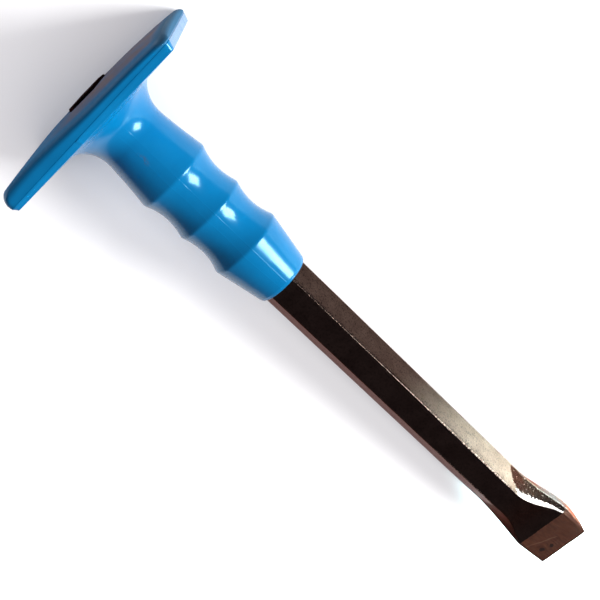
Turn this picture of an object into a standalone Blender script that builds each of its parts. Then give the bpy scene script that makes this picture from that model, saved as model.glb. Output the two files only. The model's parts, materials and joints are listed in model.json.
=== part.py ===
"""Flat cold chisel with a moulded hand guard, lying at rest on a level surface.

Two pieces: the chisel, forged from hexagonal bar, and the plastic guard that is pushed onto it.
Both are modelled in the tool's own frame and then laid down by one parent empty.
Tool frame: z runs from the cutting edge (0) to the struck end, x is the blade's width and
y its thickness, with the upper wide face at -y.
"""

import math

import bmesh
import bpy
from mathutils import Matrix, Vector

# Chisel, in metres.
LENGTH = 0.300
ACROSS_FLATS = 0.0198
CORNER_LAND = 0.0004
HEAD_CHAMFER_WIDTH = 0.0014
HEAD_CHAMFER_LENGTH = 0.0024
FLARE_LENGTH = 0.031
BEVEL_LENGTH = 0.0187
EDGE_WIDTH = 0.0248
BLADE_THICKNESS = 0.0064
BLADE_SIDE_SWELL = 0.0011
BLADE_SIDE_LAND = 0.0016
EDGE_LAND = 0.0003
FLARE_STATIONS = 12

# Guard plate, in metres.
PLATE_LENGTH = 0.0866
PLATE_DEPTH = 0.0650
PLATE_CORNER_RADIUS = 0.0030
PLATE_BOTTOM = 0.2899
PLATE_PARTING = 0.2933
CROWN = 0.2993
CROWN_DROP_ENDS = 0.0024
CROWN_DROP_SIDES = 0.0029
CROWN_POWER_ENDS = 2.5
CROWN_POWER_SIDES = 2.0
RIM_DRAFT = 0.0008
RIM_ROUNDING = 0.0016
CORNER_STEPS = 6
SIDE_STEPS = 8

# Grip, in metres: height along the tool and radius of each rib, and of each hollow between them.
GRIP_END = 0.1931
GRIP_END_RADIUS = 0.0124
GRIP_END_ROUNDING = 0.0008
RIBS = ((0.2153, 0.0164), (0.2352, 0.0159), (0.2546, 0.01665))
HOLLOWS = ((0.2254, 0.0142), (0.2444, 0.0144))
NECK = (0.2756, 0.0143)
NECK_RISE_POWER = 1.3
FILLET_HEIGHT = 0.0126
FILLET_REACH = 0.0079
STEPS_PER_CURVE = 7
TURN_STEPS = 48
BORE_GAP = 0.0003
# A six-sided cone primitive has a corner on its y axis, and the bar has its corners on x.
BORE_TURN = math.radians(30)
BORE_OVERRUN = 0.010

STEEL_COLOUR = (0.018, 0.014, 0.013, 1.0)
PLASTIC_COLOUR = (0.010, 0.255, 0.620, 1.0)

COLLECTION_NAME = "cold_chisel"
CUTTER_COLLECTION_NAME = "cutters"


def clear_scene():
    for old in list(bpy.data.objects):
        bpy.data.objects.remove(old, do_unlink=True)


def new_collection(name):
    collection = bpy.data.collections.new(name)
    bpy.context.scene.collection.children.link(collection)
    return collection


def make_material(name, colour, roughness, metallic):
    material = bpy.data.materials.new(name)
    material.use_nodes = True
    shader = material.node_tree.nodes["Principled BSDF"]
    shader.inputs["Base Color"].default_value = colour
    shader.inputs["Roughness"].default_value = roughness
    shader.inputs["Metallic"].default_value = metallic
    return material


def object_from_bmesh(name, shape, collection):
    bmesh.ops.recalc_face_normals(shape, faces=shape.faces)
    mesh = bpy.data.meshes.new(name)
    shape.to_mesh(mesh)
    shape.free()
    made = bpy.data.objects.new(name, mesh)
    collection.objects.link(made)
    return made


def loft(name, rings, collection):
    """Skin rings of equal vertex count, and close both ends with a flat face."""
    shape = bmesh.new()
    rows = [[shape.verts.new(point) for point in ring] for ring in rings]
    count = len(rows[0])
    for lower, upper in zip(rows, rows[1:]):
        for i in range(count):
            j = (i + 1) % count
            shape.faces.new((lower[i], lower[j], upper[j], upper[i]))
    shape.faces.new(list(reversed(rows[0])))
    shape.faces.new(rows[-1])
    return object_from_bmesh(name, shape, collection)


def mix(a, b, amount):
    return a + (b - a) * amount


def ease(amount):
    return amount * amount * (3.0 - 2.0 * amount)


def blade_section(z):
    """Half sizes of the chisel at height z: face width, face height, side width, side land."""
    bar_height = ACROSS_FLATS / 2
    bar_face = ACROSS_FLATS / (2 * math.sqrt(3.0))
    bar_side = 2 * bar_face - CORNER_LAND / math.sqrt(3.0)
    blade_face = EDGE_WIDTH / 2
    blade_height = BLADE_THICKNESS / 2
    if z >= BEVEL_LENGTH + FLARE_LENGTH:
        return bar_face, bar_height, bar_side, CORNER_LAND
    if z >= BEVEL_LENGTH:
        amount = 1.0 - (z - BEVEL_LENGTH) / FLARE_LENGTH
        spread = ease(amount)
        face = mix(bar_face, blade_face, amount * spread)
        height = mix(bar_height, blade_height, spread)
        side = mix(bar_side, blade_face + BLADE_SIDE_SWELL, spread)
        land = mix(CORNER_LAND, BLADE_SIDE_LAND, amount)
        return face, height, side, land
    amount = z / BEVEL_LENGTH
    height = mix(EDGE_LAND / 2, blade_height, amount)
    side = blade_face + BLADE_SIDE_SWELL * ease(amount)
    return blade_face, height, side, height / 2


def section_ring(z, inset=0.0):
    face, height, side, land = blade_section(z)
    face = face - inset * math.tan(math.radians(30))
    height = height - inset
    side = side - inset / math.cos(math.radians(30))
    corners = ((face, -height), (side, -land), (side, land), (face, height))
    mirrored = [(-x, y) for x, y in reversed(corners)]
    return [Vector((x, y, z)) for x, y in list(corners) + mirrored]


def make_chisel(collection):
    rings = [section_ring(0.0), section_ring(BEVEL_LENGTH / 2), section_ring(BEVEL_LENGTH)]
    for step in range(1, FLARE_STATIONS + 1):
        rings.append(section_ring(BEVEL_LENGTH + FLARE_LENGTH * step / FLARE_STATIONS))
    rings.append(section_ring(LENGTH - HEAD_CHAMFER_LENGTH))
    rings.append(section_ring(LENGTH, inset=HEAD_CHAMFER_WIDTH))
    chisel = loft("chisel", rings, collection)
    chisel.data.materials.append(make_material("black_steel", STEEL_COLOUR, 0.25, 0.0))
    return chisel


def rounded_rectangle(half_x, half_y, radius):
    """Plan outline, anticlockwise, with the long sides and ends cut into equal steps."""
    points = []
    centres = ((1, -1, -90), (1, 1, 0), (-1, 1, 90), (-1, -1, 180))
    for sign_x, sign_y, start in centres:
        centre = Vector((sign_x * (half_x - radius), sign_y * (half_y - radius)))
        for step in range(CORNER_STEPS + 1):
            angle = math.radians(start + 90 * step / CORNER_STEPS)
            points.append(centre + radius * Vector((math.cos(angle), math.sin(angle))))
    outline = []
    for i, point in enumerate(points):
        outline.append(point)
        if i % (CORNER_STEPS + 1) == CORNER_STEPS:
            following = points[(i + 1) % len(points)]
            for step in range(1, SIDE_STEPS):
                outline.append(point.lerp(following, step / SIDE_STEPS))
    return outline


def dome_height(x, y):
    """Height of the plate's domed top over the plan point x, y."""
    along = CROWN_DROP_ENDS * (abs(x) / (PLATE_LENGTH / 2)) ** CROWN_POWER_ENDS
    across = CROWN_DROP_SIDES * (abs(y) / (PLATE_DEPTH / 2)) ** CROWN_POWER_SIDES
    return CROWN - math.hypot(along, across)


def plate_ring(inset, height=None, sink=0.0):
    radius = max(PLATE_CORNER_RADIUS - inset, 0.0008)
    plan = rounded_rectangle(PLATE_LENGTH / 2 - inset, PLATE_DEPTH / 2 - inset, radius)
    ring = []
    for point in plan:
        level = dome_height(point.x, point.y) - sink if height is None else height
        ring.append(Vector((point.x, point.y, level)))
    return ring


def make_plate(collection):
    """The guard plate without its bore: conical underside, drafted rim and domed top."""
    root_height = NECK[0] + FILLET_HEIGHT
    root_reach = NECK[1] + FILLET_REACH
    root = []
    for point in rounded_rectangle(PLATE_LENGTH / 2, PLATE_DEPTH / 2, PLATE_CORNER_RADIUS):
        direction = point.normalized()
        root.append(Vector((direction.x * root_reach, direction.y * root_reach, root_height)))
    rings = [root]
    rings.append(plate_ring(RIM_DRAFT, height=PLATE_BOTTOM))
    rings.append(plate_ring(0.0, height=PLATE_PARTING))
    rings.append(plate_ring(RIM_DRAFT / 2, sink=RIM_ROUNDING * 0.7))
    rings.append(plate_ring(RIM_ROUNDING, sink=RIM_ROUNDING * 0.15))
    for share in (0.12, 0.25, 0.4, 0.58, 0.76):
        ring = plate_ring(0.0)
        for point in ring:
            point.x *= 1.0 - share
            point.y *= 1.0 - share
            point.z = dome_height(point.x, point.y)
        rings.append(ring)
    return loft("hand_guard", rings, collection)


def grip_profile():
    """Half outline of the grip, from the plate's underside down to the grip's end."""
    neck_height, neck_radius = NECK
    points = []
    for step in range(STEPS_PER_CURVE + 1):
        angle = math.radians(90 - 90 * step / STEPS_PER_CURVE)
        radius = neck_radius + FILLET_REACH * (1 - math.cos(angle))
        points.append((radius, neck_height + FILLET_HEIGHT * math.sin(angle)))
    top_height, top_radius = RIBS[2]
    for step in range(1, STEPS_PER_CURVE + 1):
        share = step / STEPS_PER_CURVE
        rise = (top_radius - neck_radius) * share ** NECK_RISE_POWER
        points.append((neck_radius + rise, mix(neck_height, top_height, share)))
    for upper, hollow, lower in ((RIBS[2], HOLLOWS[1], RIBS[1]), (RIBS[1], HOLLOWS[0], RIBS[0])):
        points.extend(hollow_arc(upper, hollow))
        points.extend(reversed(hollow_arc(lower, hollow)[:-1]))
        points.append((lower[1], lower[0]))
    points.append((GRIP_END_RADIUS, GRIP_END + GRIP_END_ROUNDING))
    points.append((GRIP_END_RADIUS - GRIP_END_ROUNDING * 0.3, GRIP_END))
    return points


def hollow_arc(rib, hollow):
    """Parabola from a rib, which it leaves out, to the bottom of the hollow beside it."""
    points = []
    for step in range(1, STEPS_PER_CURVE // 2 + 2):
        share = step / (STEPS_PER_CURVE // 2 + 1)
        radius = hollow[1] + (rib[1] - hollow[1]) * (1 - share) ** 2
        points.append((radius, mix(rib[0], hollow[0], share)))
    return points


def make_grip(collection):
    """The turned grip, closed at both ends on the axis; its top is buried in the plate."""
    outline = grip_profile()
    widest = outline[0][0]
    buried_top = PLATE_PARTING
    outline = [(0.0, buried_top), (widest, buried_top)] + outline + [(0.0, GRIP_END)]
    mesh = bpy.data.meshes.new("grip")
    vertices = [(radius, 0.0, height) for radius, height in outline]
    edges = [(i, i + 1) for i in range(len(vertices) - 1)]
    mesh.from_pydata(vertices, edges, [])
    grip = bpy.data.objects.new("grip_turning", mesh)
    collection.objects.link(grip)
    turning = grip.modifiers.new("turning", "SCREW")
    turning.axis = "Z"
    turning.angle = math.radians(360)
    turning.steps = TURN_STEPS
    turning.render_steps = TURN_STEPS
    turning.use_merge_vertices = True
    turning.merge_threshold = 0.00001
    return grip


def make_bore_cutter(collection):
    corner_radius = (ACROSS_FLATS + 2 * BORE_GAP) / math.sqrt(3.0)
    middle = Matrix.Translation((0.0, 0.0, (CROWN + GRIP_END) / 2))
    shape = bmesh.new()
    bmesh.ops.create_cone(
        shape,
        cap_ends=True,
        segments=6,
        radius1=corner_radius,
        radius2=corner_radius,
        depth=CROWN - GRIP_END + 2 * BORE_OVERRUN,
        matrix=middle @ Matrix.Rotation(BORE_TURN, 4, "Z"),
    )
    return object_from_bmesh("hexagonal_bore", shape, collection)


def add_boolean(target, tool, operation):
    modifier = target.modifiers.new(tool.name, "BOOLEAN")
    modifier.operation = operation
    modifier.object = tool
    modifier.solver = "EXACT"
    tool.hide_render = True
    tool.display_type = "WIRE"


def make_guard(collection, cutters):
    guard = make_plate(collection)
    add_boolean(guard, make_grip(cutters), "UNION")
    add_boolean(guard, make_bore_cutter(cutters), "DIFFERENCE")
    guard.data.materials.append(make_material("blue_plastic", PLASTIC_COLOUR, 0.30, 0.0))
    return guard


def resting_tilt():
    """Angle at which the plate's lower long side and the flare's lower face both touch down."""
    reach = PLATE_DEPTH / 2
    slopes = []
    for step in range(FLARE_STATIONS + 1):
        z = BEVEL_LENGTH + FLARE_LENGTH * step / FLARE_STATIONS
        height = blade_section(z)[1]
        slopes.append((reach - height) / (PLATE_PARTING - z))
    return math.atan(min(slopes))


def lay_down(pieces):
    """Parent the pieces to an empty that lays the tool down with the struck end towards +X."""
    flat = Matrix(((0, 0, 1), (-1, 0, 0), (0, -1, 0))).to_4x4()
    tilt = Matrix.Rotation(-resting_tilt(), 4, "Y")
    pose = tilt @ flat
    corners = [pose @ vertex.co for piece in pieces for vertex in piece.data.vertices]
    middle = (min(c.x for c in corners) + max(c.x for c in corners)) / 2
    floor = min(c.z for c in corners)
    rest = bpy.data.objects.new("resting_pose", None)
    bpy.context.scene.collection.objects.link(rest)
    rest.matrix_world = Matrix.Translation((-middle, 0.0, -floor)) @ pose
    return rest


def main():
    clear_scene()
    collection = new_collection(COLLECTION_NAME)
    cutters = new_collection(CUTTER_COLLECTION_NAME)
    chisel = make_chisel(collection)
    guard = make_guard(collection, cutters)
    rest = lay_down((chisel, guard))
    for made in (chisel, guard, *cutters.objects):
        made.parent = rest
    for piece in (chisel, guard):
        piece.data.shade_smooth()
        piece.data.set_sharp_from_angle(angle=math.radians(30))


main()
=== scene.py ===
"""A flat cold chisel with a blue moulded hand guard, lying on a pale floor.

Both pieces are modelled in the tool's own frame: z runs from the cutting edge (0) to the struck
end, x is the blade's width and y its thickness, with the upper wide face at -y. The tool frame is
found from the record's struck_end mount. Each mesh is laid down in world coordinates and keeps its
points' places in the tool frame as the attribute tool_place, which the materials read.
All lengths are in metres.
"""

import json
import math

import bmesh
import bpy
from mathutils import Matrix, Vector, noise


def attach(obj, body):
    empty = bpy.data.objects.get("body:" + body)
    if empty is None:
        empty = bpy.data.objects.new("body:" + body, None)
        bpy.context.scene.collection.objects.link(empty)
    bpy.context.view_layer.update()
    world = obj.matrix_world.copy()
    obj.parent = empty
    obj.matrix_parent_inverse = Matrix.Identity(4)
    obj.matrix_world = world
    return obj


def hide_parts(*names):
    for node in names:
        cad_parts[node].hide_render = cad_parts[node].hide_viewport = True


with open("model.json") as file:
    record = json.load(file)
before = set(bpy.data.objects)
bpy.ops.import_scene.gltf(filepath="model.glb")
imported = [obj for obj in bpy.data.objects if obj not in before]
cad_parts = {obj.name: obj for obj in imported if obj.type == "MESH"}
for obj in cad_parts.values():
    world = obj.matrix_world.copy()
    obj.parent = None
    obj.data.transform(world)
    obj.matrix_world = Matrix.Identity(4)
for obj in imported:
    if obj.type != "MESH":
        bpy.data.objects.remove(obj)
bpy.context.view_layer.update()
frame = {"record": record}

# Chisel.
LENGTH = 0.300
ACROSS_FLATS = 0.0198
CORNER_LAND = 0.0004
HEAD_CHAMFER_WIDTH = 0.0014
HEAD_CHAMFER_LENGTH = 0.0024
FLARE_LENGTH = 0.031
BEVEL_LENGTH = 0.0187
EDGE_WIDTH = 0.0248
BLADE_THICKNESS = 0.0064
BLADE_SIDE_SWELL = 0.0034
BLADE_FAR_SIDE_SWELL = 0.0016
EDGE_FLASH = 0.0004
EDGE_NICKS_REACH = 0.0020
BLADE_SIDE_LAND = 0.0016
EDGE_LAND = 0.0003
BAR_CORNER_RADIUS = 0.0007
FLARE_CORNER_RADIUS = 0.0022
EDGE_CORNER_RADIUS = 0.00015
EDGE_CORNER_REACH = 0.004
STRIP_TILT = 0.6
STRIP_SIDE_SHARE = 0.55
STRIP_LAND_SHARE = 0.80
STRIP_LOW_SHARE = 0.3
SWELL_POWER = 0.8
FORGED_UNEVENNESS = 0.00010
NICK_DEPTH = 0.00030
CHIP_DEPTH = 0.00130
HEAD_DENT_DEPTH = 0.00012

# Guard plate.
PLATE_LENGTH = 0.0866
PLATE_DEPTH = 0.0650
PLATE_CORNER_RADIUS = 0.0030
PLATE_BOTTOM = 0.2899
PLATE_PARTING = 0.2933
CROWN = 0.2993
CROWN_DROP_ENDS = 0.0024
CROWN_DROP_SIDES = 0.0029
CROWN_DROP_FLAT_END = 0.0011
CROWN_POWER_ENDS = 2.5
CROWN_POWER_SIDES = 2.0
RIM_DRAFT = 0.0016
ROLL_AT_ENDS = 0.0022
ROLL_AT_SIDES = 0.0038
ROLL_DROP_AT_ENDS = 0.0017
ROLL_DROP_AT_SIDES = 0.0020
ROLL_DROP_FLAT_END = 0.0038
WALL_DRAFT = 0.00015
LIP_INSET = 0.0005
FAR_LIP_INSET = 0.0002
PARTING_LEAN = 0.0022
BOTTOM_LEAN = 0.0011
ROLL_CORNER_GROWTH = 1.3
SMALLEST_CORNER_RADIUS = 0.0008
DOME_STEPS = 18
ROLL_STEPS = 14
UNDERSIDE_STEPS = 17
FILLET_STEPS = 16

# Grip: height along the tool and radius of each rib, and of each hollow between them.
GRIP_END = 0.1931
GRIP_END_RADIUS = 0.0124
GRIP_END_ROUNDING = 0.0008
RIBS = ((0.2153, 0.0164), (0.2352, 0.0159), (0.2546, 0.01665))
HOLLOWS = ((0.2254, 0.0142), (0.2444, 0.0144))
NECK = (0.2756, 0.0143)
NECK_RISE_POWER = 1.3
FILLET_HEIGHT = 0.0126
FILLET_REACH = 0.0079
FILLET_REACH_AT_SIDES = 0.0130
FILLET_TURN = math.radians(78)
GRIP_END_SHAPE = 0.6
GRIP_END_STEPS = 5
BORE_GAP = 0.0003
BORE_MOUTH = 0.0005
BORE_MOUTH_DEPTH = 0.0009
BORE_STEPS = 12
PROFILE_SPACING = 0.0005
CREST_SOFTENING = 0.0005

# Seams left by the mould on the grip, and one small tick on the plate's rim. Angles in degrees.
SEAM_ANGLES = (-73.0, -88.0, 92.0)
SEAM_HEIGHT = 0.00004
TICK_ANGLE = -100.0
TICK_HEIGHT = 0.00015
TICK_HALF_TURN = 0.8
INSIDE_GRIP_SKIN = 0.0122
INSIDE_RIM = 0.030

# Places of the points along each side of the chisel's section, as shares of the side.
FLAT_STEPS = (0.0, 0.03, 0.10, 0.22, 0.36, 0.5, 0.64, 0.78, 0.90, 0.97, 1.0)
LAND_STEPS = (0.0, 0.15, 0.5, 0.85, 1.0)
ROUND_STEPS = 7
LAND_SIDE = 1
LONGEST_ROUNDING = 0.42

# Distances between the chisel's rings along the tool.
BEVEL_SPACING = 0.0006
FLARE_SPACING = 0.0005
BAR_SPACING = 0.0015
COVERED_BAR_SPACING = 0.005


def mix(a, b, amount):
    return a + (b - a) * amount


def ease(amount):
    amount = min(max(amount, 0.0), 1.0)
    return amount * amount * (3.0 - 2.0 * amount)


def tool_frame():
    """World matrix of the tool frame, from the mount on the struck end."""
    mounts = {mount["name"]: mount for mount in frame["record"]["mounts"]}
    head = Vector(mounts["struck_end"]["pos_m"])
    along = Vector(mounts["struck_end"]["axis"]).normalized()
    origin = head - LENGTH * along
    width = Vector((0.0, -1.0, 0.0))
    thickness = along.cross(width)
    matrix = Matrix((width, thickness, along)).transposed().to_4x4()
    matrix.translation = origin
    return matrix


# ---------------------------------------------------------------- chisel shape


def blade_section(z, swell):
    """Half sizes of the chisel at height z: face width, face height, side width, side land."""
    bar_height = ACROSS_FLATS / 2
    bar_face = ACROSS_FLATS / (2 * math.sqrt(3.0))
    bar_side = 2 * bar_face - CORNER_LAND / math.sqrt(3.0)
    blade_face = EDGE_WIDTH / 2
    blade_height = BLADE_THICKNESS / 2
    if z >= BEVEL_LENGTH + FLARE_LENGTH:
        return bar_face, bar_height, bar_side, CORNER_LAND
    if z >= BEVEL_LENGTH:
        amount = 1.0 - (z - BEVEL_LENGTH) / FLARE_LENGTH
        spread = ease(amount)
        face = mix(bar_face, blade_face, amount * spread)
        height = mix(bar_height, blade_height, spread)
        side = mix(bar_side, blade_face + swell, spread)
        land = mix(CORNER_LAND, BLADE_SIDE_LAND, amount)
        return face, height, side, land
    amount = z / BEVEL_LENGTH
    height = mix(EDGE_LAND / 2, blade_height, amount)
    side = blade_face + mix(EDGE_FLASH, swell, amount ** SWELL_POWER)
    return blade_face, height, side, height / 2


def rounded_ring(corners, radii, z):
    """Outline through the corners with each one rounded, and with closer points beside it."""
    count = len(corners)
    ends = []
    for i in range(count):
        here = corners[i]
        before = corners[i - 1]
        after = corners[(i + 1) % count]
        turn = (here - before).angle(after - here)
        reach = radii[i] * math.tan(turn / 2)
        reach_in = min(reach, LONGEST_ROUNDING * (here - before).length)
        reach_out = min(reach, LONGEST_ROUNDING * (after - here).length)
        start = here + (before - here).normalized() * reach_in
        stop = here + (after - here).normalized() * reach_out
        ends.append((start, here, stop))
    ring = []
    for i in range(count):
        start, here, stop = ends[i]
        for step in range(ROUND_STEPS):
            share = step / ROUND_STEPS
            ring.append(start.lerp(here, share).lerp(here.lerp(stop, share), share))
        following = ends[(i + 1) % count][0]
        steps = LAND_STEPS if i % 4 == LAND_SIDE else FLAT_STEPS
        for share in steps[:-1]:
            ring.append(stop.lerp(following, share))
    return [Vector((point.x, point.y, z)) for point in ring]


def half_section(z, inset, swell):
    """The four corners of one side of the section, from the upper face round to the lower."""
    face, height, side, land = blade_section(z, swell)
    face = face - inset * math.tan(math.radians(30))
    height = height - inset
    side = side - inset / math.cos(math.radians(30))
    into_flare = ease((BEVEL_LENGTH + FLARE_LENGTH - z) / FLARE_LENGTH)
    strip = STRIP_TILT * into_flare
    strip_side = mix(side, mix(face, side, STRIP_SIDE_SHARE), strip)
    strip_land = mix(land, height * STRIP_LAND_SHARE, strip)
    low_land = mix(land, land * STRIP_LOW_SHARE, strip)
    return [
        Vector((face, -height)),
        Vector((strip_side, -strip_land)),
        Vector((side, low_land)),
        Vector((face, height)),
    ]


def section_ring(z, inset=0.0):
    """The whole section at height z, with its corners rounded; inset shrinks it."""
    near = half_section(z, inset, BLADE_SIDE_SWELL)
    far = half_section(z, inset, BLADE_FAR_SIDE_SWELL)
    corners = near + [Vector((-corner.x, corner.y)) for corner in reversed(far)]
    into_flare = ease((BEVEL_LENGTH + FLARE_LENGTH - z) / FLARE_LENGTH)
    into_bevel = ease((BEVEL_LENGTH - z) / EDGE_CORNER_REACH)
    face_radius = mix(BAR_CORNER_RADIUS, FLARE_CORNER_RADIUS, into_flare)
    face_radius = mix(face_radius, EDGE_CORNER_RADIUS, into_bevel)
    side_radius = mix(BAR_CORNER_RADIUS, EDGE_CORNER_RADIUS, into_bevel)
    radii = [face_radius, side_radius, side_radius, face_radius]
    return rounded_ring(corners, radii + radii, z)


def chisel_stations():
    """Heights of the rings, close together where the shape turns."""
    heights = []
    z = 0.0
    while z < BEVEL_LENGTH - BEVEL_SPACING:
        heights.append(z)
        z += BEVEL_SPACING
    heights += [BEVEL_LENGTH - 0.0003, BEVEL_LENGTH - 0.0001]
    heights += [BEVEL_LENGTH + 0.0001, BEVEL_LENGTH + 0.0003]
    z = BEVEL_LENGTH + 0.0007
    while z < BEVEL_LENGTH + FLARE_LENGTH + 0.004:
        heights.append(z)
        z += FLARE_SPACING
    while z < GRIP_END + 0.003:
        heights.append(z)
        z += BAR_SPACING
    while z < LENGTH - HEAD_CHAMFER_LENGTH - 0.0006:
        heights.append(z)
        z += COVERED_BAR_SPACING
    return heights


def forged(point, z):
    """Moves a point of the bar or flare inwards by a little, as hammering and scale leave it."""
    along_bar = ease((z - BEVEL_LENGTH) / 0.003) * ease((LENGTH - 0.004 - z) / 0.003)
    if along_bar <= 0.0:
        return point
    swell = noise.noise(point * 55.0) * 0.5 + 0.5
    grain = noise.noise(point * 260.0 + Vector((9.0, 3.0, 1.0))) * 0.5 + 0.5
    in_flare = ease((BEVEL_LENGTH + FLARE_LENGTH + 0.004 - z) / 0.010)
    depth = FORGED_UNEVENNESS * (0.55 * swell + mix(0.10, 0.55, in_flare) * grain)
    outward = Vector((point.x, point.y, 0.0)).normalized()
    return point - outward * depth * along_bar


def nicked(point):
    """Cuts small nicks into the cutting edge."""
    bite = noise.noise(Vector((point.x * 900.0, 0.0, 4.0))) * 0.5 + 0.5
    chip = max(noise.noise(Vector((point.x * 330.0, 7.0, 0.0))) - 0.15, 0.0)
    share = 1.0 - point.z / EDGE_NICKS_REACH
    return point + Vector((0.0, 0.0, (NICK_DEPTH * bite + CHIP_DEPTH * chip) * share))


def ring_marks():
    """For each point of a section ring: on a corner, on a sloping facet, how far across, on a land.

    Corners count as full along their arc and half at its ends. How far across a sloping facet runs
    from 0 at the wide face to 1 at the land. The land is the narrow side of the blade.
    """
    marks = []
    for i in range(8):
        slopes_out = i % 4 == 0
        slopes_in = i % 4 == 2
        on_slope = 1.0 if slopes_out or slopes_in else 0.0
        before_slope = 1.0 if i % 4 in (1, 3) else 0.0
        arc_across = 0.0 if i % 4 in (0, 3) else 1.0
        on_land = 1.0 if i % 4 in (1, 2) else 0.0
        for step in range(ROUND_STEPS):
            slope = before_slope if step < ROUND_STEPS // 2 else on_slope
            marks.append((0.5 if step == 0 else 1.0, slope, arc_across, on_land))
        on_land = 1.0 if i % 4 == LAND_SIDE else 0.0
        steps = LAND_STEPS if i % 4 == LAND_SIDE else FLAT_STEPS
        for k, share in enumerate(steps[:-1]):
            across = share if slopes_out else 1.0 - share if slopes_in else 0.0
            marks.append((0.5 if k == 0 else 0.0, on_slope, across, on_land))
    return marks


def chisel_rings():
    """Every section of the chisel with its height, from the edge to the chamfered struck end."""
    rings = [(z, section_ring(z)) for z in chisel_stations()]
    head = LENGTH - HEAD_CHAMFER_LENGTH
    rings.append((head - 0.0003, section_ring(head - 0.0003)))
    rings.append((head, section_ring(head, inset=0.00005)))
    rings.append((head + 0.0003, section_ring(head + 0.0003, inset=0.00022)))
    rings.append((LENGTH - 0.0002, section_ring(LENGTH - 0.0002, inset=HEAD_CHAMFER_WIDTH - 0.0001)))
    rings.append((LENGTH, section_ring(LENGTH, inset=HEAD_CHAMFER_WIDTH + 0.0001)))
    return rings


def make_chisel():
    """The chisel as one closed skin, with the marks its material reads stored on its points."""
    shape = bmesh.new()
    corner_layer = shape.verts.layers.float.new("corner")
    slope_layer = shape.verts.layers.float.new("side_facet")
    across_layer = shape.verts.layers.float.new("across")
    land_layer = shape.verts.layers.float.new("land")
    rings = chisel_rings()
    rows = []
    for z, ring in rings:
        if z < EDGE_NICKS_REACH:
            ring = [nicked(point) for point in ring]
        rows.append([shape.verts.new(forged(point, z)) for point in ring])
    top = rows[-1]
    for share in (0.75, 0.5, 0.25):
        row = []
        for vertex in top:
            dent = HEAD_DENT_DEPTH * (noise.noise(vertex.co * 240.0 * share) * 0.5 + 0.5)
            row.append(shape.verts.new((vertex.co.x * share, vertex.co.y * share, LENGTH - dent)))
        rows.append(row)
    count = len(top)
    for lower, upper in zip(rows, rows[1:]):
        for i in range(count):
            j = (i + 1) % count
            shape.faces.new((lower[i], lower[j], upper[j], upper[i]))
    shape.faces.new(list(reversed(rows[0])))
    shape.faces.new(rows[-1])
    marks = ring_marks()
    for row in rows:
        for vertex, (corner, slope, across, land) in zip(row, marks):
            vertex[corner_layer] = corner
            vertex[slope_layer] = slope
            vertex[across_layer] = across
            vertex[land_layer] = land
    return finish_mesh("chisel_steel", shape, 50)


def finish_mesh(name, shape, sharp_degrees):
    """Stores each point's place in the tool frame for the materials, and lays the piece down."""
    bmesh.ops.recalc_face_normals(shape, faces=shape.faces)
    tool_place = shape.verts.layers.float_vector.new("tool_place")
    for vertex in shape.verts:
        vertex[tool_place] = vertex.co
    mesh = bpy.data.meshes.new(name)
    shape.to_mesh(mesh)
    shape.free()
    mesh.transform(tool_frame())
    mesh.shade_smooth()
    mesh.set_sharp_from_angle(angle=math.radians(sharp_degrees))
    made = bpy.data.objects.new(name, mesh)
    bpy.context.scene.collection.objects.link(made)
    return made


# ---------------------------------------------------------------- guard shape


def plate_reach(angle, half_x, half_y, radius):
    """Distance from the axis to a rounded rectangle's outline, in the direction of the angle."""
    cosine = abs(math.cos(angle))
    sine = abs(math.sin(angle))
    if cosine > 1e-9 and half_x * sine / cosine <= half_y - radius:
        return half_x / cosine
    if sine > 1e-9 and half_y * cosine / sine <= half_x - radius:
        return half_y / sine
    centre_x = half_x - radius
    centre_y = half_y - radius
    along = centre_x * cosine + centre_y * sine
    return along + math.sqrt(max(along * along - centre_x ** 2 - centre_y ** 2 + radius ** 2, 0.0))


def bore_reach(angle, across_flats):
    """Distance from the axis to the hexagon's side; the hexagon has its corners on x."""
    sector = math.radians(60)
    offset = (angle % sector) - sector / 2
    return across_flats / 2 / math.cos(offset)


def dome_height(x, y):
    """Height of the domed top over the plan point; the dome is flatter towards -x."""
    flat_end = ease((0.012 - x) / 0.048)
    drop_sides = mix(CROWN_DROP_SIDES, CROWN_DROP_FLAT_END, flat_end)
    along = CROWN_DROP_ENDS * (abs(x) / (PLATE_LENGTH / 2)) ** CROWN_POWER_ENDS
    across = drop_sides * (abs(y) / (PLATE_DEPTH / 2)) ** CROWN_POWER_SIDES
    return CROWN - math.hypot(along, across)


def guard_angles():
    """Directions round the axis in degrees, closer at the plate's corners and the seams."""
    angles = set(step * 2.5 for step in range(144))
    corner = math.degrees(math.atan2(PLATE_DEPTH, PLATE_LENGTH))
    for centre in (corner, 180 - corner, 180 + corner, 360 - corner):
        for step in range(-12, 13):
            angles.add(round(centre + step * 0.35, 3) % 360)
    for seam in (*SEAM_ANGLES, TICK_ANGLE):
        for offset in (-1.4, -0.7, 0.0, 0.7, 1.4):
            angles.add(round(seam + offset, 3) % 360)
    return sorted(angles)


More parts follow.
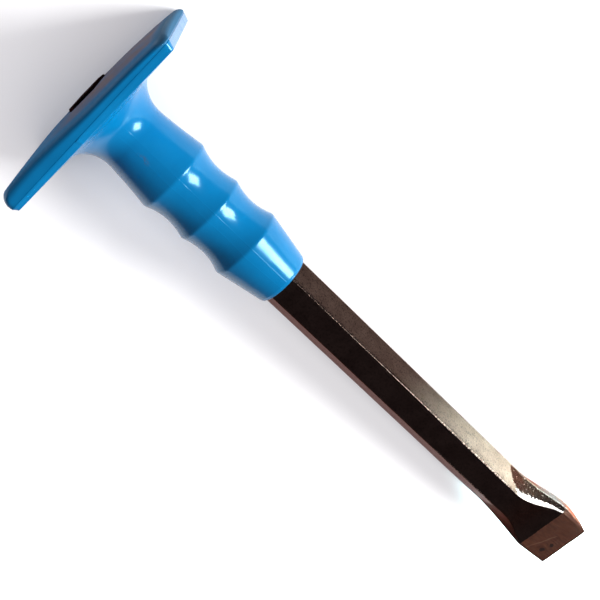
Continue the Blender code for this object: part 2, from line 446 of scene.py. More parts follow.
def grip_radius(z):
    """Radius of the turned grip at height z, from the grip's end to the plate's underside."""
    neck_z, neck_r = NECK
    top_z, top_r = RIBS[2]
    if z >= neck_z:
        share = min((z - neck_z) / FILLET_HEIGHT, 1.0)
        return neck_r + FILLET_REACH * (1 - math.sqrt(1 - share * share))
    if z >= top_z:
        share = (neck_z - z) / (neck_z - top_z)
        return neck_r + (top_r - neck_r) * share ** NECK_RISE_POWER
    for upper, hollow, lower in ((RIBS[2], HOLLOWS[1], RIBS[1]), (RIBS[1], HOLLOWS[0], RIBS[0])):
        if z >= hollow[0]:
            share = (upper[0] - z) / (upper[0] - hollow[0])
            return hollow[1] + (upper[1] - hollow[1]) * (1 - share) ** 2
        if z >= lower[0]:
            share = (z - lower[0]) / (hollow[0] - lower[0])
            return hollow[1] + (lower[1] - hollow[1]) * (1 - share) ** 2
    low_z, low_r = RIBS[0]
    share = (low_z - z) / (low_z - GRIP_END)
    return mix(low_r, GRIP_END_RADIUS, share)


def soft_grip_radius(z):
    """The grip's radius with its crests rounded as a mould leaves them."""
    total = 0.0
    for step in range(-4, 5):
        at = min(max(z + CREST_SOFTENING * step / 4, GRIP_END), NECK[0] + FILLET_HEIGHT)
        total += grip_radius(at)
    return total / 9


def facing_long_side(angle):
    """1 where the direction meets a long side of the plate, 0 where it meets an end."""
    across = abs(math.sin(angle)) / PLATE_DEPTH
    along = abs(math.cos(angle)) / PLATE_LENGTH
    return ease((across / (across + along) - 0.5) / 0.12 + 0.5)


def plate_outline(angle, inset, corner):
    """Reach of the plate's outline moved inwards by the inset, with the given corner radius."""
    return plate_reach(angle, PLATE_LENGTH / 2 - inset, PLATE_DEPTH / 2 - inset, corner)


def rim_outline(angle, inset):
    return plate_outline(angle, inset, max(PLATE_CORNER_RADIUS - inset, SMALLEST_CORNER_RADIUS))


def rolled_outline(angle, inset):
    """The outline on the rolled shoulder, whose corners widen as it moves inwards."""
    return plate_outline(angle, inset, PLATE_CORNER_RADIUS + ROLL_CORNER_GROWTH * inset)


def dome_at(angle, reach):
    return dome_height(reach * math.cos(angle), reach * math.sin(angle))


def rim_lean(angle):
    """0 where the plate's outline meets its +x end, 1 at its -x end."""
    along = rim_outline(angle, 0.0) * math.cos(angle)
    return min(max(0.5 - along / PLATE_LENGTH, 0.0), 1.0)


def dome_points(angle, bore, roll):
    """The softened mouth of the bore and the dome, out to where the shoulder begins."""
    inner = bore + BORE_MOUTH
    points = [
        (bore, CROWN - BORE_MOUTH_DEPTH),
        (bore + 0.00015, CROWN - 0.0004),
        (bore + 0.0003, dome_at(angle, bore + 0.0003) - 0.00005),
        (inner, dome_at(angle, inner)),
    ]
    top_edge = rolled_outline(angle, roll)
    for step in range(1, DOME_STEPS + 1):
        reach = mix(inner, top_edge, step / DOME_STEPS)
        points.append((reach, dome_at(angle, reach)))
    return points


def shoulder_points(angle, roll, side, lean):
    """The rounded shoulder, from the dome down to the top of the wall."""
    roll_drop = mix(ROLL_DROP_AT_ENDS, ROLL_DROP_AT_SIDES, side)
    roll_drop = mix(roll_drop, ROLL_DROP_FLAT_END, ease(lean * 1.4 - 0.4))
    points = []
    for step in range(1, ROLL_STEPS + 1):
        turn = math.radians(90 * step / ROLL_STEPS)
        inset = WALL_DRAFT + (roll - WALL_DRAFT) * (1 - math.sin(turn))
        reach = rolled_outline(angle, inset) if step < ROLL_STEPS else rim_outline(angle, WALL_DRAFT)
        points.append((reach, dome_at(angle, reach) - roll_drop * (1 - math.cos(turn))))
    return points


def rim_points(angle, lean, bottom, wall_height):
    """The wall, the fine lip at the parting line, and the drafted band down to the bottom edge."""
    parting = PLATE_PARTING - PARTING_LEAN * lean
    wall_top = rim_outline(angle, WALL_DRAFT)
    upper_lip = rim_outline(angle, mix(LIP_INSET, FAR_LIP_INSET, lean))
    low_rim = rim_outline(angle, RIM_DRAFT)
    points = []
    for share in (0.3, 0.6, 0.85):
        reach = mix(wall_top, upper_lip, share ** 0.7)
        points.append((reach, mix(wall_height, parting + 0.00008, share)))
    points.append((upper_lip, parting + 0.00008))
    points.append((upper_lip - 0.00022, parting))
    points.append((upper_lip - 0.00008, parting - 0.00012))
    points.append((upper_lip - 0.00010, parting - 0.0004))
    points.append((mix(upper_lip - 0.00012, low_rim, 0.5), mix(parting, bottom, 0.5)))
    points.append((low_rim + 0.00012, bottom + 0.0005))
    points.append((low_rim + 0.00002, bottom + 0.0002))
    points.append((low_rim - 0.00020, bottom + 0.00003))
    points.append((low_rim - 0.0006, bottom - 0.00003))
    return points


def underside_points(angle, rim_reach, rim_height):
    """The plate's underside, and the fillet that leads it into the neck."""
    sine = math.sin(angle)
    fillet_reach = mix(FILLET_REACH, FILLET_REACH_AT_SIDES, sine * sine)
    points = []
    for step in range(1, UNDERSIDE_STEPS):
        share = step / UNDERSIDE_STEPS
        reach = mix(rim_reach, NECK[1] + fillet_reach, share)
        points.append((reach, mix(rim_height, NECK[0] + FILLET_HEIGHT, share)))
    for step in range(FILLET_STEPS + 1):
        turn = FILLET_TURN * (1 - step / FILLET_STEPS)
        reach = NECK[1] + fillet_reach * (1 - math.cos(turn)) / (1 - math.cos(FILLET_TURN))
        points.append((reach, NECK[0] + FILLET_HEIGHT * math.sin(turn) / math.sin(FILLET_TURN)))
    return points


def grip_points():
    """The ribbed grip from the neck down, and its rounded end."""
    points = []
    z = NECK[0] - PROFILE_SPACING
    while z > GRIP_END + GRIP_END_ROUNDING:
        points.append((soft_grip_radius(z), z))
        z -= PROFILE_SPACING
    for step in range(GRIP_END_STEPS + 1):
        turn = math.radians(90 * step / GRIP_END_STEPS)
        reach = GRIP_END_RADIUS - GRIP_END_ROUNDING * (1 - math.cos(turn)) * GRIP_END_SHAPE
        points.append((reach, GRIP_END + GRIP_END_ROUNDING * (1 - math.sin(turn))))
    return points


def bore_points(bore):
    """The grip's flat end, and the bore from there back up to the plate."""
    lip = GRIP_END_RADIUS - GRIP_END_ROUNDING * GRIP_END_SHAPE
    points = [
        (mix(lip, bore, 0.5), GRIP_END),
        (bore + 0.00005, GRIP_END),
        (bore, GRIP_END + 0.0002),
    ]
    for step in range(1, BORE_STEPS):
        share = step / BORE_STEPS
        points.append((bore, mix(GRIP_END + 0.0002, CROWN - BORE_MOUTH_DEPTH, share)))
    return points


def guard_profile(angle):
    """Closed outline of the guard in one direction, as (reach, height) from the bore's top out."""
    bore = bore_reach(angle, ACROSS_FLATS + 2 * BORE_GAP)
    side = facing_long_side(angle)
    roll = mix(ROLL_AT_ENDS, ROLL_AT_SIDES, side)
    lean = rim_lean(angle)
    bottom = PLATE_BOTTOM - BOTTOM_LEAN * lean
    top = dome_points(angle, bore, roll) + shoulder_points(angle, roll, side, lean)
    rim = rim_points(angle, lean, bottom, top[-1][1])
    underside = underside_points(angle, *rim[-1])
    return top + rim + underside + grip_points() + bore_points(bore)


def seam_lift(angle_degrees):
    """Height of the mould's seams, thin raised lines down the grip."""
    lift = 0.0
    for seam in SEAM_ANGLES:
        offset = (angle_degrees - seam + 180) % 360 - 180
        lift = max(lift, 1.0 - abs(offset) / 0.75)
    return SEAM_HEIGHT * max(lift, 0.0)


def mould_mark(degrees, reach, height):
    """How far the seams, or the tick on the rim's band, raise the guard at this place."""
    if GRIP_END + 0.001 < height < NECK[0] + 0.006 and reach > INSIDE_GRIP_SKIN:
        return seam_lift(degrees)
    on_band = PLATE_BOTTOM - 0.0009 < height < PLATE_PARTING - 0.0015 and reach > INSIDE_RIM
    if on_band and abs(degrees - TICK_ANGLE % 360) < TICK_HALF_TURN:
        return TICK_HEIGHT
    return 0.0


def top_share(row):
    """1 for the rows of the profile on the dome, fading to 0 down the shoulder."""
    past_dome = row - (DOME_STEPS + 3)
    return min(max(1.0 - past_dome / (ROLL_STEPS - 1), 0.0), 1.0)


def make_guard():
    """The guard as one closed skin round the axis, with its top face marked for the material."""
    shape = bmesh.new()
    columns = []
    top_layer = shape.verts.layers.float.new("top_face")
    for degrees in guard_angles():
        angle = math.radians(degrees)
        column = []
        for row, (reach, height) in enumerate(guard_profile(angle)):
            reach += mould_mark(degrees, reach, height)
            vertex = shape.verts.new((reach * math.cos(angle), reach * math.sin(angle), height))
            vertex[top_layer] = top_share(row)
            column.append(vertex)
        columns.append(column)
    count = len(columns[0])
    for k, column in enumerate(columns):
        following = columns[(k + 1) % len(columns)]
        for i in range(count):
            j = (i + 1) % count
            shape.faces.new((column[i], column[j], following[j], following[i]))
    return finish_mesh("guard_moulding", shape, 42)


# ---------------------------------------------------------------- materials

# Blue plastic.
BLUE_DEEP = (0.0006, 0.122, 0.292, 1)
BLUE_LIGHT = (0.0010, 0.143, 0.335, 1)
PLASTIC_TINT = (0.46, 0.86, 1.0, 1)
PLASTIC_SPECULAR = 0.36
POLISHED = 0.15
SCUFFED = 0.25
TOP_DUST = (0.165, 0.088, 0.066, 1)
TOP_ROUGHNESS = 0.92
DUST_THINS_FROM_X = 0.006
DUST_THINS_TO_X = -0.024
DUST_STOPS_AT_X = (0.034, 0.041)
DUST_STOPS_AT_Y = (0.0225, 0.0300)
END_DUST = (0.018, 0.060, 0.105, 1)
END_DUST_SHARE = 0.70
END_ROUGHNESS = 0.80
END_FACET_X = (0.0355, 0.0415)
SMUDGE = (0.070, 0.050, 0.040, 1)
SMUDGE_PLACE = (0.0007, -0.0150, 0.2690)
SMUDGE_STRETCH = (0.35, 1.0, 0.8)
SMUDGE_RADIUS = 0.0052
SMUDGE_SHARE = 0.55

# Black steel. Heights are along the tool, from the cutting edge.
LACQUER_DARK = (0.034, 0.022, 0.018, 1)
LACQUER_LIGHT = (0.048, 0.032, 0.026, 1)
SCALE_DARK = (0.004, 0.0032, 0.0028, 1)
SCALE_LIGHT = (0.022, 0.017, 0.014, 1)
FLECK = (0.34, 0.31, 0.28, 1)
WORN_STEEL = (0.24, 0.20, 0.17, 1)
SIDE_STEEL = (0.0180, 0.0175, 0.0178, 1)
# Worn bare steel on the strip beside the upper face, partly a painted highlight.
BARE_STEEL_AND_HIGHLIGHT = (0.80, 0.76, 0.70, 1)
FAR_FLARE = (0.022, 0.019, 0.019, 1)
FAR_FLARE_SHARE = 0.8
# Painted reflection: tints the steel's grazing reflections brown-pink, standing in for a brown ground
# that the pale floor lacks.
BROWN_GROUND_REFLECTION_TINT = (0.60, 0.43, 0.41, 1)
BLADE_LAND_TOP = (0.046, 0.050)
PATCH_TOP = (0.0455, 0.0470)
PATCH_SLANT = 0.008
# Painted shade: from here up, the lacquer turns near black where the head sits in the guard's bore,
# damping its reflection.
HEAD_SHADE_AT = (0.285, 0.295)
HEAD_DULLS_AT = (0.2970, 0.2985)
WEAR_FADES_OVER = (0.060, 0.150)
FAR_FLARE_TOP = (0.047, 0.052)
UPPER_SIDE_Y = (-0.0005, 0.0005)
NEAR_SIDE_X = (0.0, 0.003)

# Ground bevel.
BEVEL_DARK = (0.024, 0.007, 0.003, 1)
BEVEL_LIGHT = (0.068, 0.023, 0.010, 1)
BEVEL_LINE_WAVER = 0.0004
BEVEL_LINE_SOFTNESS = 0.00015
BEVEL_NOT_METALLIC = 0.7
PIT = (0.004, 0.001, 0.0005, 1)
BEVEL_PITS = (((-0.0034, -0.0011, 0.0057), 0.0019), ((-0.0080, -0.0013, 0.0072), 0.0023))
SCRATCH = (0.22, 0.12, 0.08, 1)
SCRATCH_SHARE = 0.5
SCRATCH_SLOPE = 0.44
SCRATCH_HEIGHT = 0.0093
SCRATCH_HALF_WIDTH = 0.00022
SCRATCH_WAVER = 0.0002
SCRATCH_END_X = (0.0, 0.003)

FLOOR_COLOUR = (0.86, 0.86, 0.86, 1)


class Nodes:
    """Short calls for building a node material."""

    def __init__(self, name):
        self.material = bpy.data.materials.new(name)
        self.material.use_nodes = True
        self.tree = self.material.node_tree
        self.shader = self.tree.nodes["Principled BSDF"]

    def link(self, source, target):
        self.tree.links.new(source, target)

    def place(self, value, socket):
        if hasattr(value, "is_output"):
            self.link(value, socket)
        else:
            socket.default_value = value

    def math(self, operation, a, b=0.5, clamp=False):
        node = self.tree.nodes.new("ShaderNodeMath")
        node.operation = operation
        node.use_clamp = clamp
        self.place(a, node.inputs[0])
        self.place(b, node.inputs[1])
        return node.outputs[0]

    def product(self, first, *others):
        for other in others:
            first = self.math("MULTIPLY", first, other)
        return first

    def total(self, first, *others):
        for other in others:
            first = self.math("ADD", first, other)
        return first

    def rest_of(self, share):
        """1 minus the share."""
        return self.math("SUBTRACT", 1.0, share)

    def blend(self, amount, a, b):
        """Colour a, going over to colour b as the amount goes from 0 to 1."""
        node = self.tree.nodes.new("ShaderNodeMix")
        node.data_type = "RGBA"
        self.place(amount, node.inputs["Factor"])
        self.place(a, node.inputs["A"])
        self.place(b, node.inputs["B"])
        return next(out for out in node.outputs if out.type == "RGBA")

    def remap(self, value, low, high, to_low=0.0, to_high=1.0):
        """Smooth step of the value from low to high, given out from to_low to to_high."""
        node = self.tree.nodes.new("ShaderNodeMapRange")
        node.interpolation_type = "SMOOTHSTEP"
        self.place(value, node.inputs["Value"])
        node.inputs["From Min"].default_value = low
        node.inputs["From Max"].default_value = high
        node.inputs["To Min"].default_value = to_low
        node.inputs["To Max"].default_value = to_high
        return node.outputs["Result"]

    def rises(self, value, between, to_low=0.0, to_high=1.0):
        return self.remap(value, between[0], between[1], to_low, to_high)

    def falls(self, value, between, to_low=0.0, to_high=1.0):
        return self.remap(value, between[1], between[0], to_low, to_high)

    def waver(self, grain, amount):
        """Minus the amount to plus the amount, following the grain of a noise."""
        return self.remap(grain, 0.3, 0.7, -amount, amount)

    def attribute(self, name, output="Fac"):
        node = self.tree.nodes.new("ShaderNodeAttribute")
        node.attribute_name = name
        return node.outputs[output]

    def coordinates(self):
        return self.attribute("tool_place", "Vector")

    def stretched(self, scale):
        node = self.tree.nodes.new("ShaderNodeMapping")
        node.inputs["Scale"].default_value = scale
        self.link(self.coordinates(), node.inputs["Vector"])
        return node.outputs["Vector"]

    def noise(self, scale, detail=4.0, roughness=0.5, vector=None):
        node = self.tree.nodes.new("ShaderNodeTexNoise")
        node.inputs["Scale"].default_value = scale
        node.inputs["Detail"].default_value = detail
        node.inputs["Roughness"].default_value = roughness
        self.link(vector or self.coordinates(), node.inputs["Vector"])
        return node.outputs["Fac"]

    def xyz(self):
        node = self.tree.nodes.new("ShaderNodeSeparateXYZ")
        self.link(self.coordinates(), node.inputs[0])
        return node.outputs

    def spot(self, centre, stretch, radius):
        """1 at a place in the tool frame, falling to 0 at the radius; stretch divides distances."""
        away = self.tree.nodes.new("ShaderNodeVectorMath")
        away.operation = "SUBTRACT"
        self.link(self.coordinates(), away.inputs[0])
        away.inputs[1].default_value = centre
        scaled = self.tree.nodes.new("ShaderNodeVectorMath")
        scaled.operation = "DIVIDE"
        self.link(away.outputs[0], scaled.inputs[0])
        scaled.inputs[1].default_value = stretch
        length = self.tree.nodes.new("ShaderNodeVectorMath")
        length.operation = "LENGTH"
        self.link(scaled.outputs[0], length.inputs[0])
        return self.remap(length.outputs["Value"], radius, 0.0)

    def bump(self, height, strength, distance, under=None):
        node = self.tree.nodes.new("ShaderNodeBump")
        self.place(strength, node.inputs["Strength"])
        node.inputs["Distance"].default_value = distance
        self.link(height, node.inputs["Height"])
        if under is not None:
            self.link(under, node.inputs["Normal"])
        return node.outputs["Normal"]


def plastic_dust(nodes, place, top):
    """Masks of the dusty part of the top face and of the dulled end facet."""
    patchy = nodes.remap(nodes.noise(90.0, 6.0, 0.65), 0.30, 0.75, 0.50, 0.90)
    thinning = nodes.remap(place[0], DUST_THINS_TO_X, DUST_THINS_FROM_X, 0.10, 1.0)
    before_end = nodes.falls(place[0], DUST_STOPS_AT_X)
    inland = nodes.falls(nodes.math("ABSOLUTE", place[1], 0.0), DUST_STOPS_AT_Y)
    dust = nodes.product(top, patchy, thinning, before_end, inland)
    above_parting = nodes.remap(place[2], PLATE_PARTING - 0.0004, PLATE_PARTING + 0.0008)
    dull_end = nodes.product(nodes.rises(place[0], END_FACET_X), above_parting)
    return dust, dull_end


def plastic_material():
    """Glossy blue moulding: faint flow marks, fine scuffs, and a dull, dusty top face."""
    nodes = Nodes("glossy_blue_plastic")
    place = nodes.xyz()
    top = nodes.attribute("top_face")
    flow = nodes.noise(45.0, 3.0)
    base = nodes.blend(nodes.remap(flow, 0.3, 0.7), BLUE_DEEP, BLUE_LIGHT)
    dust, dull_end = plastic_dust(nodes, place, top)
    base = nodes.blend(dust, base, TOP_DUST)
    base = nodes.blend(nodes.product(dull_end, END_DUST_SHARE), base, END_DUST)
    smudge = nodes.spot(SMUDGE_PLACE, SMUDGE_STRETCH, SMUDGE_RADIUS)
    rubbed = nodes.remap(nodes.noise(500.0, 5.0, 0.6), 0.42, 0.62, 0.0, SMUDGE_SHARE)
    base = nodes.blend(nodes.product(smudge, rubbed), base, SMUDGE)
    nodes.link(base, nodes.shader.inputs["Base Color"])
    scuff = nodes.noise(170.0, 6.0, 0.6, nodes.stretched((1.0, 1.0, 0.25)))
    polish = nodes.remap(scuff, 0.35, 0.75, POLISHED, SCUFFED)
    rough = nodes.math("MAXIMUM", polish, nodes.product(dull_end, END_ROUGHNESS))
    rough = nodes.math("MAXIMUM", rough, nodes.product(top, TOP_ROUGHNESS))
    nodes.link(rough, nodes.shader.inputs["Roughness"])
    skin = nodes.bump(nodes.noise(800.0, 3.0), 0.015, 0.0004)
    wave = nodes.bump(nodes.noise(110.0, 2.0), 0.045, 0.0025, skin)
    nodes.link(wave, nodes.shader.inputs["Normal"])
    nodes.shader.inputs["Specular Tint"].default_value = PLASTIC_TINT
    nodes.shader.inputs["Specular IOR Level"].default_value = PLASTIC_SPECULAR
    return nodes.material


class SteelMasks:
    """Where each kind of steel surface lies, as sockets from 0 to 1, and the noises they share."""

    def __init__(self, nodes):
        self.x, self.y, self.z = nodes.xyz()
        self.ragged = nodes.noise(900.0, 4.0, 0.6)
        self.mottle = nodes.noise(140.0, 5.0)
        self.corner = nodes.attribute("corner")
        self.side_facet = nodes.attribute("side_facet")
        self.across = nodes.attribute("across")
        self.near_side = nodes.rises(self.x, NEAR_SIDE_X)
        self.land = nodes.product(nodes.attribute("land"), nodes.falls(self.z, BLADE_LAND_TOP))
        self.bevel = self.find_bevel(nodes)
        self.flare = self.find_flare(nodes)
        self.off_strip = self.find_off_strip(nodes)
        self.scale = nodes.product(self.flare, self.off_strip, self.near_side)
        self.strip = self.find_bright_strip(nodes)
        far = nodes.product(nodes.rest_of(self.near_side), nodes.falls(self.z, FAR_FLARE_TOP))
        self.worn = nodes.product(self.find_wear(nodes), nodes.rest_of(far))
        self.far_flare = nodes.product(far, self.side_facet)

    def find_bevel(self, nodes):
        """The ground bevel, without the blade's narrow side."""
        waver = nodes.remap(self.ragged, 0.0, 1.0, -BEVEL_LINE_WAVER, BEVEL_LINE_WAVER)
        line = nodes.total(self.z, waver)
        above = BEVEL_LENGTH + BEVEL_LINE_SOFTNESS
        below = BEVEL_LENGTH - BEVEL_LINE_SOFTNESS
        return nodes.product(nodes.remap(line, above, below), nodes.rest_of(self.land))

    def find_flare(self, nodes):
        """The sloping facets of the flare, ending in a ragged, slanting line."""
        slanted = nodes.total(self.z, nodes.product(self.across, -PATCH_SLANT))
        line = nodes.total(slanted, nodes.waver(self.mottle, 0.003), nodes.waver(self.ragged, 0.0014))
        return nodes.product(nodes.falls(line, PATCH_TOP), self.side_facet, nodes.rest_of(self.bevel))

    def find_off_strip(self, nodes):
        """Away from the bright strip that runs beside the upper face and narrows at both ends."""
        ragged_across = nodes.total(self.across, nodes.waver(self.ragged, 0.10))
        widening = nodes.remap(self.z, 0.050, 0.030, -0.06, 0.12)
        narrowing = nodes.remap(self.z, 0.027, 0.019, 0.0, 0.22)
        strip_edge = nodes.math("SUBTRACT", widening, narrowing)
        return nodes.remap(nodes.math("SUBTRACT", ragged_across, strip_edge), 0.16, 0.22)

    def find_bright_strip(self, nodes):
        """The bright strip itself, with the corner beside it, on the upper near side: worn bare
        steel, partly a painted highlight.
        """
        beside_face = nodes.math("MAXIMUM", self.corner, nodes.rest_of(self.off_strip))
        beside_face = nodes.product(beside_face, nodes.remap(self.across, 0.6, 0.4))
        on_top = nodes.falls(self.y, UPPER_SIDE_Y)
        return nodes.product(self.flare, beside_face, on_top, self.near_side)

    def find_wear(self, nodes):
        """Speckled wear along the corners, heavier towards the blade."""
        speckle = nodes.remap(nodes.noise(1300.0, 5.0, 0.7), 0.42, 0.62)
        patchy = nodes.remap(nodes.noise(120.0, 3.0), 0.30, 0.60, 0.25, 1.0)
        along = nodes.falls(self.z, WEAR_FADES_OVER, 0.08, 1.0)
        return nodes.product(self.corner, nodes.product(speckle, nodes.product(patchy, along)))


def lacquer_colour(nodes, masks):
    """Mottled black lacquer with dark grain, darker at its lip beside the face; painted shade darkens
    the head end.
    """
    colour = nodes.blend(nodes.remap(masks.mottle, 0.3, 0.7), LACQUER_DARK, LACQUER_LIGHT)
    fine = nodes.noise(1400.0, 4.0, 0.7)
    colour = nodes.blend(nodes.remap(fine, 0.36, 0.50, 0.70, 0.0), colour, SCALE_DARK)
    lip = nodes.total(masks.across, nodes.remap(fine, 0.35, 0.65, -0.12, 0.12))
    lip = nodes.product(nodes.remap(lip, 0.08, 0.03), masks.side_facet, 0.85)
    colour = nodes.blend(lip, colour, SCALE_DARK)
    # Painted shade: the head end in the guard's bore turns near black.
    colour = nodes.blend(nodes.rises(masks.z, HEAD_SHADE_AT), colour, SCALE_DARK)
    return nodes.blend(masks.land, colour, SIDE_STEEL)


def scale_colour(nodes):
    """Rough forge scale with a few bright flecks."""
    crust = nodes.remap(nodes.noise(700.0, 8.0, 0.75), 0.40, 0.66)
    fleck = nodes.remap(nodes.noise(1100.0, 2.0, 0.5), 0.66, 0.70)
    return nodes.blend(fleck, nodes.blend(crust, SCALE_DARK, SCALE_LIGHT), FLECK)


def ground_colour(nodes, masks, grind):
    """Brown ground steel with fine grinding lines, two pits and one long scratch."""
    colour = nodes.blend(nodes.remap(grind, 0.3, 0.7), BEVEL_DARK, BEVEL_LIGHT)
    for centre, radius in BEVEL_PITS:
        ragged = nodes.remap(masks.ragged, 0.2, 0.8, -0.3, 0.3)
        pit = nodes.total(nodes.spot(centre, (1, 1, 1), radius), ragged)
        colour = nodes.blend(nodes.remap(pit, 0.28, 0.48), colour, PIT)
    line = nodes.total(masks.z, nodes.product(masks.x, SCRATCH_SLOPE))
    line = nodes.total(line, nodes.waver(masks.mottle, SCRATCH_WAVER))
    away = nodes.math("ABSOLUTE", nodes.math("SUBTRACT", line, SCRATCH_HEIGHT), 0.0)
    on_line = nodes.remap(away, SCRATCH_HALF_WIDTH, 0.0)
    scratch = nodes.product(on_line, nodes.falls(masks.x, SCRATCH_END_X), SCRATCH_SHARE)
    return nodes.blend(scratch, colour, SCRATCH)


def steel_roughness(nodes, masks):
    """Uneven gloss on the lacquer, rougher where it is worn, scaled, ground or hammered."""
    gloss = nodes.remap(nodes.noise(260.0, 6.0, 0.6), 0.30, 0.75, 0.12, 0.22)
    gloss = nodes.total(gloss, nodes.product(masks.worn, 0.35), nodes.product(masks.scale, 0.35))
    gloss = nodes.total(gloss, nodes.product(masks.strip, 0.20))
    gloss = nodes.total(gloss, nodes.rises(masks.z, HEAD_DULLS_AT, 0.0, 0.70))
    gloss = nodes.math("ADD", gloss, nodes.product(masks.bevel, 0.30), clamp=True)
    return nodes.math("ADD", gloss, nodes.product(masks.far_flare, 0.30), clamp=True)


def steel_bump(nodes, masks, grind):
    """Orange peel in the lacquer, a deeper crust in the scale, and lines in the bevel."""
    peel = nodes.bump(nodes.noise(520.0, 5.0, 0.6), 0.18, 0.0006)
    crust = nodes.noise(750.0, 8.0, 0.75)
    crusty = nodes.bump(crust, nodes.product(masks.scale, 0.9), 0.0008, peel)
    return nodes.bump(grind, nodes.product(masks.bevel, 0.35), 0.0003, crusty)


def steel_material():
    """Black lacquered bar with worn corners, rough forge scale on the flare, and a ground bevel; the
    bright strip on the flare is partly a painted highlight, and the grazing tint paints in a brown
    ground's reflection.
    """
    nodes = Nodes("black_lacquered_steel")
    masks = SteelMasks(nodes)
    grind = nodes.noise(500.0, 4.0, 0.6, nodes.stretched((6.0, 1.0, 0.35)))
    base = nodes.blend(masks.scale, lacquer_colour(nodes, masks), scale_colour(nodes))
    base = nodes.blend(nodes.product(masks.far_flare, FAR_FLARE_SHARE), base, FAR_FLARE)
    base = nodes.blend(masks.worn, base, WORN_STEEL)
    # Painted highlight, partly worn bare steel, on the strip beside the upper face.
    base = nodes.blend(masks.strip, base, BARE_STEEL_AND_HIGHLIGHT)
    base = nodes.blend(masks.bevel, base, ground_colour(nodes, masks, grind))
    nodes.link(base, nodes.shader.inputs["Base Color"])
    metallic = nodes.rest_of(nodes.product(masks.bevel, BEVEL_NOT_METALLIC))
    nodes.link(metallic, nodes.shader.inputs["Metallic"])
    nodes.link(steel_roughness(nodes, masks), nodes.shader.inputs["Roughness"])
    nodes.link(steel_bump(nodes, masks, grind), nodes.shader.inputs["Normal"])
    # Painted reflection colour: the grazing tint gives the steel's reflections the brown of a ground
    # not in the scene.
    nodes.shader.inputs["Specular Tint"].default_value = BROWN_GROUND_REFLECTION_TINT
    return nodes.material


def floor_material():
    nodes = Nodes("pale_floor")
    nodes.shader.inputs["Base Color"].default_value = FLOOR_COLOUR
    nodes.shader.inputs["Roughness"].default_value = 0.7
    nodes.shader.inputs["Specular IOR Level"].default_value = 0.2
    return nodes.material


# ---------------------------------------------------------------- stage, camera, lights

CAMERA_PLACE = Vector((0.12671, -0.11164, 0.40550))
CAMERA_RIGHT = Vector((-0.68623, -0.72620, -0.04156))
CAMERA_UP = Vector((0.68862, -0.63018, -0.35872))
CAMERA_LENS = 59.24
CAMERA_SENSOR = 36.0

OBJECT_MIDDLE = (0.06, -0.01, 0.03)
KEY_PLACE = (-0.655, -0.805, 0.575)
KEY_SIZE = 0.44
KEY_RADIANCE = 50.0
FLOOR_WASH_RADIANCE = 2.2
POOL_CENTRE = (-0.140, -0.055)
POOL_HEIGHT = 0.6
POOL_ANGLE = 8.6
POOL_ENERGY = 1850.0
POOL_COLOUR = (0.64, 1.0, 1.0)
POOL_SOFTNESS = 0.05
FLOOR_HALF_SIZE = 3.0
FLOOR_WASH_HEIGHT = 1.4
FLOOR_WASH_SIZE = 1.6
WORLD_COLOUR = (1.0, 0.90, 1.02, 1)
WORLD_STRENGTH = 0.25


def make_floor():
    mesh = bpy.data.meshes.new("floor")
    half = FLOOR_HALF_SIZE
    corners = [(-half, -half, 0), (half, -half, 0), (half, half, 0), (-half, half, 0)]
    mesh.from_pydata(corners, [], [(0, 1, 2, 3)])
    floor = bpy.data.objects.new("floor", mesh)
    bpy.context.scene.collection.objects.link(floor)
    mesh.materials.append(floor_material())
    return floor


def make_camera():
    data = bpy.data.cameras.new("camera")
    data.lens = CAMERA_LENS
    data.sensor_width = CAMERA_SENSOR
    data.clip_start = 0.01
    camera = bpy.data.objects.new("camera", data)
    bpy.context.scene.collection.objects.link(camera)
    back = CAMERA_RIGHT.cross(CAMERA_UP)
    matrix = Matrix((CAMERA_RIGHT, CAMERA_UP, back)).transposed().to_4x4()
    matrix.translation = CAMERA_PLACE
    camera.matrix_world = matrix
    bpy.context.scene.camera = camera


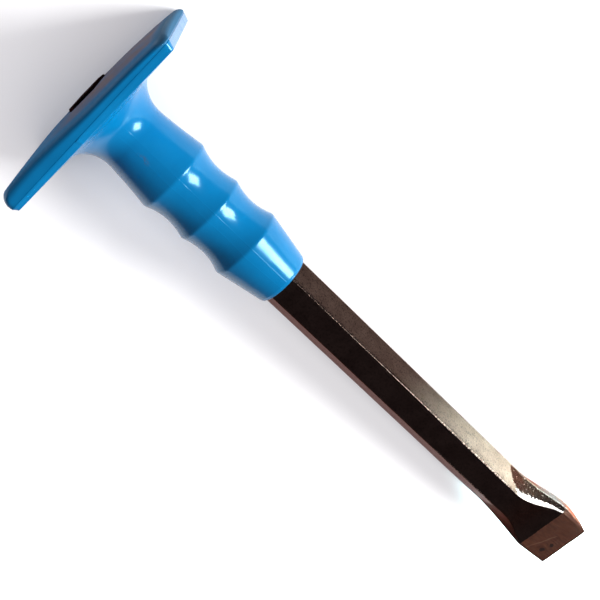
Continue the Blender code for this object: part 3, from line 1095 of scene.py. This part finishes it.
def soft_light(name, place, target, size, radiance):
    """A square soft light whose strength is given as radiance, so size keeps brightness."""
    data = bpy.data.lights.new(name, "AREA")
    data.shape = "RECTANGLE"
    data.size = size
    data.size_y = size
    data.energy = radiance * size * size * math.pi
    light = bpy.data.objects.new(name, data)
    bpy.context.scene.collection.objects.link(light)
    place = Vector(place)
    light.matrix_world = (Vector(target) - place).to_track_quat("-Z", "Y").to_matrix().to_4x4()
    light.matrix_world.translation = place
    return light


def make_world():
    world = bpy.data.worlds.new("studio")
    bpy.context.scene.world = world
    world.use_nodes = True
    background = world.node_tree.nodes["Background"]
    background.inputs["Color"].default_value = WORLD_COLOUR
    background.inputs["Strength"].default_value = WORLD_STRENGTH


def light_only(light, receiver):
    """Makes a light shine on one object only."""
    group = bpy.data.collections.new(light.name + "_receiver")
    group.objects.link(receiver)
    light.light_linking.receiver_collection = group


def floor_pool():
    """A narrow spot straight down, which makes a bright pool on the floor beside the blade."""
    data = bpy.data.lights.new("floor_pool", "SPOT")
    data.energy = POOL_ENERGY
    data.spot_size = math.radians(POOL_ANGLE)
    data.spot_blend = 1.0
    data.shadow_soft_size = POOL_SOFTNESS
    data.color = POOL_COLOUR
    pool = bpy.data.objects.new("floor_pool", data)
    bpy.context.scene.collection.objects.link(pool)
    pool.location = (POOL_CENTRE[0], POOL_CENTRE[1], POOL_HEIGHT)
    return pool


def make_lights(floor):
    """A soft key light, and two lights on the floor only, whose reflection the steel shows."""
    soft_light("key", KEY_PLACE, OBJECT_MIDDLE, KEY_SIZE, KEY_RADIANCE)
    wash_place = (0.0, 0.0, FLOOR_WASH_HEIGHT)
    wash = soft_light("floor_wash", wash_place, (0, 0, 0), FLOOR_WASH_SIZE, FLOOR_WASH_RADIANCE)
    light_only(wash, floor)
    light_only(floor_pool(), floor)


def main():
    bpy.context.scene.view_settings.view_transform = "Standard"
    pieces = (
        (make_chisel(), "chisel", "chisel", "black_steel", steel_material()),
        (make_guard(), "guard", "hand_guard", "blue_plastic", plastic_material()),
    )
    for piece, body, node, slot, material in pieces:
        piece.data.materials.append(material)
        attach(piece, body)
        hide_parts(node)
    floor = make_floor()
    make_camera()
    make_world()
    make_lights(floor)


main()
